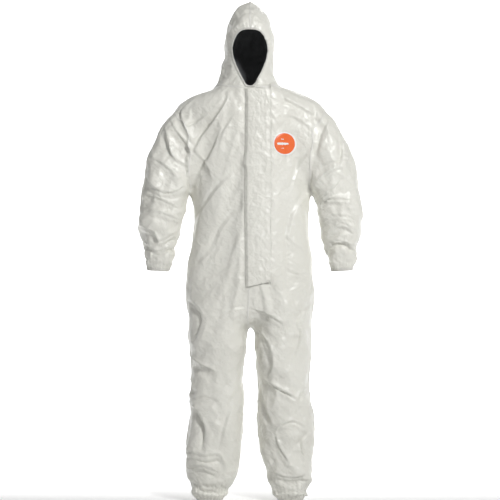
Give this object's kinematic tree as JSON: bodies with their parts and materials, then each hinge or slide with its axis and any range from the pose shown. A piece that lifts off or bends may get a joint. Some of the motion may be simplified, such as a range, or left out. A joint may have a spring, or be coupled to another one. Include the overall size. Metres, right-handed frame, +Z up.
{
  "type": "chemical protective suit",
  "caption": "Hooded one-piece protective coverall with elastic face opening, zip under a storm flap, elastic wrists and ankles, and an orange chest patch.",
  "frame": {"origin": "on the floor, midway between the two ankle hems and between the widest points", "axes": "+Z up the wearer, -Y out of the front, +X to the wearer's left"},
  "size_m": [0.8332, 0.2725, 1.884],
  "materials": {
    "laminate": "smooth glossy film over nonwoven",
    "seam_tape": "heat-sealed satin tape",
    "zip_tape": "woven tape",
    "zip_plastic": "moulded satin",
    "elastic": "covered elastic",
    "adhesive": "glossy adhesive strip",
    "label": "plain woven label",
    "patch_orange": "printed film, satin",
    "patch_white": "printed film, satin"
  },
  "bodies": {
    "torso": {"front_left_panel": "laminate", "front_right_panel": "laminate", "back_panel": "laminate", "left_shoulder_seam_tape": "seam_tape", "left_side_seam_tape": "seam_tape", "left_armhole_binding": "seam_tape", "left_zipper_tape": "zip_tape", "left_zipper_teeth": "zip_plastic", "left_sleeve_head": "laminate", "left_seat": "laminate", "right_shoulder_seam_tape": "seam_tape", "right_side_seam_tape": "seam_tape", "right_armhole_binding": "seam_tape", "right_zipper_tape": "zip_tape", "right_zipper_teeth": "zip_plastic", "right_sleeve_head": "laminate", "right_seat": "laminate", "neck_binding": "seam_tape", "neck_label": "label", "chest_patch_border": "patch_white", "chest_patch_face": "patch_orange", "zipper_bottom_stop": "zip_plastic", "zipper_top_stops": "zip_plastic", "flap_seam_fold": "laminate", "hood_collar": "laminate"},
    "hood": {"hood_left_panel": "laminate", "hood_right_panel": "laminate", "hood_face_elastic": "elastic", "hood_center_seam_tape": "seam_tape"},
    "storm_flap": {"storm_flap": "laminate", "flap_adhesive_strip": "adhesive"},
    "zipper_slider": {"zipper_slider": "zip_plastic"},
    "zipper_pull_tab": {"zipper_pull_tab": "zip_plastic"},
    "left_upper_sleeve": {"left_sleeve_upper": "laminate", "left_sleeve_elbow": "laminate"},
    "left_lower_sleeve": {"left_sleeve_lower": "laminate", "left_sleeve_seam_tape": "seam_tape", "left_wrist_hem": "laminate", "left_wrist_elastic": "elastic"},
    "left_thigh": {"left_leg_upper": "laminate", "left_inseam_tape_upper": "seam_tape", "left_leg_knee": "laminate"},
    "left_shin": {"left_leg_lower": "laminate", "left_inseam_tape_lower": "seam_tape", "left_ankle_hem": "laminate", "left_ankle_elastic": "elastic"},
    "right_upper_sleeve": {"right_sleeve_upper": "laminate", "right_sleeve_elbow": "laminate"},
    "right_lower_sleeve": {"right_sleeve_lower": "laminate", "right_sleeve_seam_tape": "seam_tape", "right_wrist_hem": "laminate", "right_wrist_elastic": "elastic"},
    "right_thigh": {"right_leg_upper": "laminate", "right_inseam_tape_upper": "seam_tape", "right_leg_knee": "laminate"},
    "right_shin": {"right_leg_lower": "laminate", "right_inseam_tape_lower": "seam_tape", "right_ankle_hem": "laminate", "right_ankle_elastic": "elastic"}
  },
  "joints": [
    {"name": "zipper_slide", "type": "slide", "parent": "torso", "child": "zipper_slider", "axis": [0, -0.0499, -0.9988], "range_m": [0, 0.685]},
    {"name": "pull_tab_swing", "type": "hinge", "parent": "zipper_slider", "child": "zipper_pull_tab", "pos_m": [0, -0.09657, 1.53478], "axis": [-1, 0, 0], "range_deg": [0, 5]},
    {"name": "storm_flap_hinge", "type": "hinge", "parent": "torso", "child": "storm_flap", "pos_m": [0.0765, -0.1189, 1.18], "axis": [0, 0.0499, 0.9988], "range_deg": [0, 150]},
    {"name": "hood_fold", "type": "hinge", "parent": "torso", "child": "hood", "pos_m": [0, 0.088, 1.585], "axis": [-1, 0, 0], "range_deg": [0, 75], "deforming": ["hood_collar"]},
    {"name": "left_shoulder", "type": "hinge", "parent": "torso", "child": "left_upper_sleeve", "pos_m": [0.232, 0, 1.4], "axis": [0, -1, 0], "range_deg": [0, 90], "deforming": ["left_sleeve_head"]},
    {"name": "left_elbow", "type": "hinge", "parent": "left_upper_sleeve", "child": "left_lower_sleeve", "pos_m": [0.334, 0, 1.105], "axis": [-1, 0, 0], "range_deg": [0, 65], "deforming": ["left_sleeve_elbow"]},
    {"name": "left_hip", "type": "hinge", "parent": "torso", "child": "left_thigh", "pos_m": [0.118, 0, 0.725], "axis": [-1, 0, 0], "range_deg": [-20, 60], "deforming": ["left_seat"]},
    {"name": "left_knee", "type": "hinge", "parent": "left_thigh", "child": "left_shin", "pos_m": [0.134, 0, 0.4], "axis": [1, 0, 0], "range_deg": [0, 80], "deforming": ["left_leg_knee"]},
    {"name": "right_shoulder", "type": "hinge", "parent": "torso", "child": "right_upper_sleeve", "pos_m": [-0.232, 0, 1.4], "axis": [0, 1, 0], "range_deg": [0, 90], "deforming": ["right_sleeve_head"]},
    {"name": "right_elbow", "type": "hinge", "parent": "right_upper_sleeve", "child": "right_lower_sleeve", "pos_m": [-0.334, 0, 1.105], "axis": [-1, 0, 0], "range_deg": [0, 65], "deforming": ["right_sleeve_elbow"]},
    {"name": "right_hip", "type": "hinge", "parent": "torso", "child": "right_thigh", "pos_m": [-0.118, 0, 0.725], "axis": [-1, 0, 0], "range_deg": [-20, 60], "deforming": ["right_seat"]},
    {"name": "right_knee", "type": "hinge", "parent": "right_thigh", "child": "right_shin", "pos_m": [-0.134, 0, 0.4], "axis": [1, 0, 0], "range_deg": [0, 80], "deforming": ["right_leg_knee"]}
  ]
}
